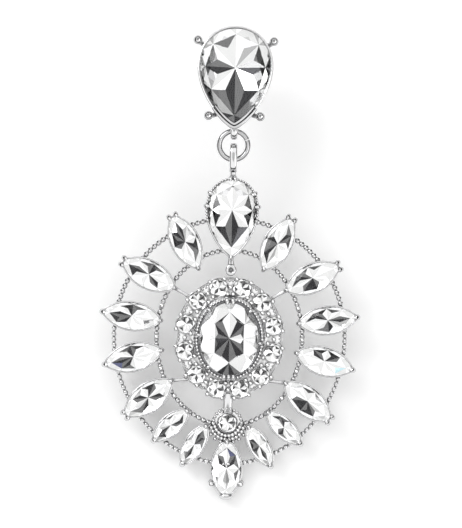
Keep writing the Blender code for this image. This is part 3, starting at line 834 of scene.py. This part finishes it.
piece("halo_plate", [plate, band], bead_silver, (HALO_RIM, 2.2))
piece("halo_cups", cups, silver, (HALO_RIM, 2.2))
piece("halo_beads", [beads, *posts], bead_silver, (HALO_RIM + 0.5, 0.7), 0.4)
print("halo:", len(spots), "beads")

# %% [markdown]
# ## Beaded wires
#
# Two wires run round the medallion under the settings. They are cast as rows of beads, so the
# wire is a round section whose size swells and narrows along the path: the path is cut into
# equal lengths first, and the swell is the height of a half circle over each length.


# %% A wire of beads
def even(line, height, pitch, steps=1):
    """A closed plan line at a height, cut into equal lengths of about a pitch, and each of those
    into steps, by interpolation over its running length."""
    closed = level(np.vstack([line, line[:1]]), height)
    run = np.append(0, np.cumsum(np.linalg.norm(np.diff(closed, axis=0), axis=1)))
    count = round(run[-1] / pitch) * steps
    return np.stack([np.interp(shares(count) * run[-1], run, row) for row in closed.T], axis=1)


WIRE, WIRE_HEIGHT, BEAD = 0.40, 1.25, 0.80  # radius, height of the middle, length of a bead
INNER = (10.6, 12.8)  # half width and half length of the inner wire


def beaded(across, along, shift=0.0, egg=0.0, steps=8):
    """Radius times a neck plus the root of one minus the squared way from a bead's middle."""
    a = TURN * shares(720)
    line = np.column_stack([across * np.cos(a) * (1 + egg * np.sin(a)), shift + along * np.sin(a)])
    path = even(line, WIRE_HEIGHT, BEAD, steps)
    way = np.arange(len(path)) % steps / steps * 2 - 1
    swell = 0.38 + 0.62 * np.sqrt(1 - way**2)
    return carried(path, circle(8, WIRE), looped=True, swell=swell), len(path) // steps


outer_wire, outer_count = beaded(16.8, 17.9, -0.5, 0.03)
inner_wire, inner_count = beaded(*INNER)
piece("outer_beaded_wire", [outer_wire], silver, (1.8, 2.0))
piece("inner_beaded_wire", [inner_wire], silver, (1.8, 2.0))
print(outer_count, "and", inner_count, "beads")

# %% [markdown]
# ## Grains
#
# A jeweller runs a toothed wheel along a lip to raise a row of grains, which makes a plain edge
# sparkle. The pear's lip above its shoulders, the oval's lip, the edge of the halo's band and a
# ring round the small stone have them. A bump in the finish would leave the outline smooth, so
# each grain is a ball of a few dozen faces, and the balls stand at equal steps along the lip.


# %% Rows of grains
pear_line = placed(ring_round(drop_pear, pear, 0.27, 360), drop_pear)
on_pear = even(pear_line, PEAR_RIM + 0.04, 0.44)
on_pear = on_pear[on_pear[:, 1] > drop_pear.at[1] - 0.6]
on_oval = even(ellipse(shares(360), 9.56, 11.60), OVAL_RIM, 0.50)
on_band = even(ellipse(shares(360), 14.75, 16.75), 1.40, 0.52)
on_collar = even(round_line(2.05, small_round.at[1], shares(90)), 1.45, 0.56)
rows = [balls(on_pear, 0.21), balls(on_oval, 0.23), balls(on_band, 0.22), balls(on_collar, 0.27)]
piece("grains_on_the_lips", rows, bead_silver, (OVAL_RIM + 0.2, 3.0), 0.5)
print("grains:", len(on_pear), len(on_oval), len(on_band), len(on_collar))

# %% [markdown]
# ## Links and struts
#
# Short bars tie the parts together: one with an eyelet above the halo, one below it, one under the
# bail, and four struts to the inner wire. The eyelet is blind, with a low floor that the painted
# shade darkens. A bar could be a box, but solder leaves it a little thicker at both ends, so it is
# a rounded rectangle carried along a line.

# %% Bars, eyelet and struts
link = []
sag = np.linspace(-1, 1, 9)
BARS = (  # from, to, width, height of the middle, thickness
    (10.6, 12.2, 1.00, 1.32, 0.8), (-11.3, -8.1, 1.48, 1.25, 0.8), (22.6, 24.9, 0.92, 1.6, 1.3),
)
for low, high, width, height, tall in BARS:
    path = np.linspace((0, low, height), (0, high, height), 9)
    link.append(carried(path, soft_box(width, tall), swell=0.9 + 0.22 * sag**2))
EYELET = 9.95  # its place along the drop
ring = level(ellipse(shares(32), 1.08, 1.16) + (0, EYELET), 1.7)
link.append(carried(ring, circle(12, 0.30), looped=True))
# the eyelet's low floor, darkened by the finish's painted shade
blind = ((0.30, 1.25), (0.45, 1.32), (0.45, 1.42), (0.10, 1.42))
link.append(lathe(blind, 16, (0, EYELET), start=0))
for sign in (1, -1):
    for x0, y0, x1, y1 in ((5.6, 5.7, 8.2, 7.2), (5.7, -6.1, 8.4, -6.4)):
        path = np.linspace((sign * x0, y0, 1.3), (sign * x1, y1, 1.3), 9)
        link.append(carried(path, circle(10, 0.30), swell=0.85 + 0.3 * np.abs(sag)))
piece("links_and_struts", link, silver, (1.8, 2.0))
print(len(link), "links, struts and eyelet parts")

# %% [markdown]
# ## Collar and knots
#
# A collar of beads spreads below the small round stone in three rows, on a low plate. Larger
# beads sit on the inner wire between the marquises. Their places are points on arcs, or the
# middles between two stones pushed out to the wire, so they stay right if the stones are moved.

# %% Beads of the collar and of the inner wire
rows = []
for reach, height, number in ((1.90, 1.9, 10), (2.46, 1.75, 12), (2.98, 1.5, 9)):
    arc = np.linspace(198, 342, number) / 360
    rows.append(level(round_line(reach, small_round.at[1], arc), height))
collar = balls(np.concatenate(rows), 0.33)
rings = ((1.9, 0.75), (2.35, 0.85), (2.45, 1.20), (2.2, 1.40), (0.8, 1.45))
fan = lathe(rings, 40, (0, small_round.at[1] - 0.5), start=0)
knots = []
for side in (marquises[:7], marquises[7:]):
    for one, two in zip(side[1:5], side[2:6]):
        bearing = (one.at + two.at) / 2
        bearing /= math.hypot(*bearing / INNER)
        knots.append((*bearing, 1.5))
knots = balls(knots, 0.42, 12, 9)
piece("collar_beads", [collar, knots], bead_silver, (2.2, 0.9), 0.3)
piece("collar_plate", [fan], bead_silver, (1.9, 2.0))
print("collar:", sum(len(row) for row in rows), "beads")

# %% [markdown]
# ## Feet
#
# Two stout claws at the sides of the bottom stone end in balls above and below. The lower balls
# are what the drop lies on. Each claw is a wire carried up the side and bent in over the stone.

# %% Feet
feet = []
for sign in (1, -1):
    x, y = sign * 2.20, -21.30
    path = (x, y, 0.05), (x, y, 1.2), (x, y, 2.2), (0.86 * x, y + 0.10, 2.52)
    feet.append(carried(path, circle(10, 0.36), (0, 1, 0), swell=[1.0, 0.9, 1.05, 0.7]))
    bar = (x, y, 1.0), (0.62 * x, y + 0.2, 1.0), (0.3 * x, y + 0.4, 1.0)
    feet.append(carried(bar, circle(8, 0.32)))
    feet.append(balls([(x, y, 0.05), (0.98 * x, y, 2.28)], (0.43, 0.46), 16, 11))
piece("foot_claws", feet, silver, (2.3, 2.6))
print("feet:", counts["foot_claws"], "triangles")

# %% [markdown]
# ## Bail and jump ring
#
# The bail is a long loop seen from its edge, and the jump ring is a round wire bent into a ring
# with a fine gap where its ends meet. A torus would do for the ring, but not with a gap, so both
# are sections carried along a path: a closed one for the bail, and an open one for the ring.

# %% The two rings
turn = np.linspace(0, math.pi, 13)
up = np.column_stack([np.zeros(13), 1.05 * np.sin(turn), 1.05 * np.cos(turn)])
bail = np.concatenate([up + (0, 26.95, 1.6), up * (1, -1, -1) + (0, 25.45, 1.6)])
bail = carried(bail, soft_box(0.76, 1.10), (1, 0, 0), looped=True)
piece("bail_loop", [bail], silver, (2.6, 1.1), 0.55)
RING, RING_WIRE = 2.07, 0.37  # radius of the jump ring's middle line, and of its wire
ring = level(round_line(RING, 28.05, np.linspace(24.0, 381.6, 90) / 360), 1.6)
ring = carried(ring, circle(16, RING_WIRE))
piece("split_jump_ring", [ring], silver, (2.05, 0.36), 0.95, ["jump_ring"])
print("jump ring:", round(2 * (RING + RING_WIRE), 2), "mm across outside")

# %% [markdown]
# ## The stud
#
# The stud is one large pear stone in a deep cup with a closed back. Its four claws are wires that
# stand away from the wall and end in balls, each with a small cup pressed into its top, and a claw
# bent like a V from two wires guards the tip. A loop under the tip carries the jump ring. A hole
# cut in a solid block would leave untidy faces, so one profile makes the cup: from the middle of
# the back up outside, over the lip and down inside, carried round the pear's outline.


# %% Cup of the stud
def cupped_ball(centre, radius):
    """A ball with a small cup in its top: circles of latitude, then three rings down."""
    tilt = np.linspace(0.06, 0.86, 13) * math.pi
    cup = ((0.31, 0.86), (0.24, 0.68), (0.10, 0.62))
    points, faces = lathe([*zip(np.sin(tilt), -np.cos(tilt)), *cup], 24)
    return centre + radius * points, faces


lip, out, mid = 0.14, CLEAR + 0.54, STUD_RIM / 2
shoulder, bend = STUD_RIM - 0.26, STUD_RIM - 0.08
profile = (
    (out, 0.76, 0.0), (out, 0.82, 0.10), (out, 0.91, mid), (out, 1.0, shoulder),
    (out - 0.3 * lip, 1.0, bend), (out - lip, 1.0, STUD_RIM), (CLEAR + lip, 1.0, STUD_RIM),
    (CLEAR + 0.3 * lip, 1.0, bend), (CLEAR, 1.0, shoulder), (CLEAR, 0.88, mid), (CLEAR, 0.76, 0.40),
)
stud_parts, stud_claws = [carried_round(stud_pear, pear, profile, 96)], []
# a claw's way down from its ball: how far in, as a share of the arm, and how far down
steps = np.array([(1, 2.9), (0.5, 2.3), (0.25, 1.75), (0.10, 1.1), (0.02, 0.5), (0, 0)])
for across, along, degrees, arm in ((5.50, 5.30, 20, 2.6), (3.75, -5.75, -25, 3.6)):
    lean = math.radians(degrees)
    for sign in (1, -1):
        out = np.array([sign * math.cos(lean), math.sin(lean), 0.0])
        top = np.array([sign * across, along, 3.95])
        path = top - steps[:, :1] * arm * out - steps[:, 1:] * (0, 0, 1)
        stud_claws.append(carried(path, circle(12, 0.36), np.cross(out, (0, 0, 1))))
        stud_claws.append(cupped_ball(top, 0.67))
taper = 1.0 - 0.4 * np.abs(np.linspace(-1, 1, 41)) ** 3
round_tip = pear(np.linspace(-0.20, 0.20, 57), *stud_pear.size)
for off, radius in ((0.02, 0.24), (0.50, 0.27)):  # the V-shaped claw is bent from two wires
    arms = level(placed(grown(round_tip, off)[8:49], stud_pear), STUD_RIM + 0.20)
    stud_claws.append(carried(arms, circle(10, radius), swell=taper))
LOOP, LOOP_HEIGHT = 0.98, 1.65  # radius of the loop's middle line, and height of its middle
loop_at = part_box("stud_setting")[0].y / MM - stud.origin[1] + LOOP + 0.30
loop = np.insert(round_line(LOOP, LOOP_HEIGHT, shares(40)) + (loop_at, 0), 0, 0.0, axis=1)
stud_parts.append(carried(loop, soft_box(0.60, 1.00), (1, 0, 0), looped=True))
stem = np.linspace((0, loop_at + 0.8, LOOP_HEIGHT), (0, loop_at + 2.2, LOOP_HEIGHT), 5)
stud_parts.append(carried(stem, soft_box(0.9, 1.3)))
piece("stud_cup", stud_parts, bead_silver, (STUD_RIM, 4.6), 0.6, ["stud_setting"], stud)
piece("stud_claws", stud_claws, silver, (4.6, 0.67), 0.6, bench=stud)
print("stud:", counts["stud_cup"] + counts["stud_claws"], "triangles")

# %% [markdown]
# ## The ear post
#
# The post is a steel pin, soldered to the middle of the cup's back on a round pad, with a
# rounded end and two grooves that a clutch clicks into. It was turned on a lathe, and the mesh is
# made the same way: pairs of radius and height are carried round the pin's axis.

# %% The ear post
post_at = np.mean(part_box("ear_post"), axis=0)[:2] / MM
profile = (
    (0.26, 0.0), (0.38, 0.10), (0.43, 0.35), (0.44, 1.55), (0.36, 1.70), (0.36, 1.85),
    (0.44, 2.0), (0.44, 2.6), (0.36, 2.75), (0.36, 2.9), (0.44, 3.05), (0.44, 9.2),
    (0.60, 9.5), (1.7, 9.62), (1.87, 9.72), (1.87, 9.98), (1.75, 10.1),
)
post = lathe(profile, 32, post_at)
piece("turned_ear_post", [post], pin_steel, (4.0, 8.0), 0.22, ["ear_post"], world, "post")
print(len(counts), "pieces,", sum(counts.values()), "triangles")

# %% [markdown]
# ## Studio
#
# The earring lies on a pale sweep of paper. A pattern or a tint in it would show in every mirror
# facet and bead, so it is plain, with a fine grain in its roughness and a faint glow of its own
# that keeps its far parts white.

# %% Floor
HALF, SUNK = 3.0, 2e-5  # half the floor's side, and how far it lies below the feet, in metres
floor_mesh = bpy.data.meshes.new("sweep")
corners_of_floor = [(x * HALF, y * HALF, -SUNK) for x, y in ((-1, -1), (1, -1), (1, 1), (-1, 1))]
floor_mesh.from_pydata(corners_of_floor, [], [(0, 1, 2, 3)])
floor = put("sweep", floor_mesh)
paper = Recipe(bpy.data.materials.new("white_paper"))
floor_mesh.materials.append(paper.surface(
    Base_Color=(0.9, 0.9, 0.9, 1), Roughness=0.8 + 0.1 * paper.noise(4000.0, 2.0),
    Emission_Color=(1, 1, 1, 1), Emission_Strength=0.19,
))
floor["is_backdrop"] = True
print("floor:", 2 * HALF, "m square")

# %% [markdown]
# ## Light tent
#
# Bright metal shows only what stands round it, so it is shot in a white tent. All white would
# leave it flat, so there are a few dark things: a small hole for the camera, a dark card at each
# side, and a dark band low on the walls. The band lies below what the flat stones mirror, so it
# draws lines on the metal alone. The tent could be built of planes, but the world's own colour does
# the same, as the product of three ramps: on height, on the angle from the hole, and on the way
# sideways. A soft lamp at the upper left gives the shadow its direction.

# %% Tent and lamps
ELEVATION = math.radians(83)
HOLE = (0.0, -math.cos(ELEVATION), math.sin(ELEVATION))
sky = Recipe(bpy.data.worlds.new("light_tent"))
bpy.context.scene.world = sky.owner
toward = sky.node("TexCoord", output="Generated")
height, sideways = (sky.node("SeparateXYZ", None, {0: toward}, output=axis) for axis in "ZX")
sideways = sky.node("Math", {"operation": "ABSOLUTE"}, {0: sideways})
cards = sky.ramp(sideways, (0.0, 1.0), (0.70, 1.0), (0.78, 0.08), (1.0, 0.08))
hole = sky.node("VectorMath", {"operation": "DOT_PRODUCT"}, {0: toward, 1: HOLE}, output="Value")
low_part = sky.ramp(height, (0.0, 0.50), (0.03, 0.05), (0.34, 0.05), (0.46, 1.0), (1.0, 1.0))
hole_part = sky.ramp(hole, (0.0, 1.0), (0.976, 1.0), (0.987, 0.40), (1.0, 0.55))
sky.surface(Color=low_part * hole_part * cards, Strength=1.15)

for name, at, power in (("key", (-0.42, 0.30, 0.52), 1.2), ("fill", (0.50, -0.20, 0.40), 0.4)):
    square = bpy.data.lights.new(name, "AREA")
    square.energy, square.size = power, 0.30
    lamp = put(name, square)
    lamp.location = at
    lamp.rotation_euler = Vector(at).to_track_quat("Z", "Y").to_euler()  # aimed at the earring
print("tent and two lamps")

# %% [markdown]
# ## Camera
#
# A long lens from far away keeps the small piece free of perspective, as a product camera does. It
# looks down, seven degrees from upright, from below the foot. Its distance follows from the
# height that the earring fills in the frame.

# %% Camera
bpy.context.scene.view_settings.view_transform = "Standard"
lens = bpy.data.cameras.new("camera")
lens.lens, lens.sensor_width, lens.clip_start, lens.clip_end = 240.0, 36.0, 0.01, 20.0
camera = put("camera", lens)
bpy.context.scene.camera = camera
STUD_TOP, ROLL, FILL = 14.2 * MM, math.radians(1.3), 0.90
ends = np.array([(cad_low.y, 0.0), (cad_high.y, STUD_TOP)])  # foot and top: along, and up
seen = ends @ (math.sin(ELEVATION), math.cos(ELEVATION))
distance = float(seen[1] - seen[0]) / FILL * lens.lens / lens.sensor_width
back = Vector(HOLE)
target = Vector((0.0, 0.0, STUD_TOP / 2))
target.y = (seen.mean() - target.z * math.cos(ELEVATION)) / math.sin(ELEVATION)
camera.location = target + distance * back
aim = back.to_track_quat("Z", "Y").to_matrix() @ Matrix.Rotation(ROLL, 3, "Z")
camera.rotation_euler = aim.to_euler()
print("camera", round(distance, 3), "m away")

# %% [markdown]
# ## Sizes and finish
#
# The dressed model has to be the size of the solid one. Both boxes are measured, kept and shown.

# %% Sizes, and done
low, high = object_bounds()
for model, box in (("solid", (cad_low, cad_high)), ("dressed", (low, high))):
    print(model, "model, mm:", [[round(v / MM, 2) for v in corner] for corner in box])
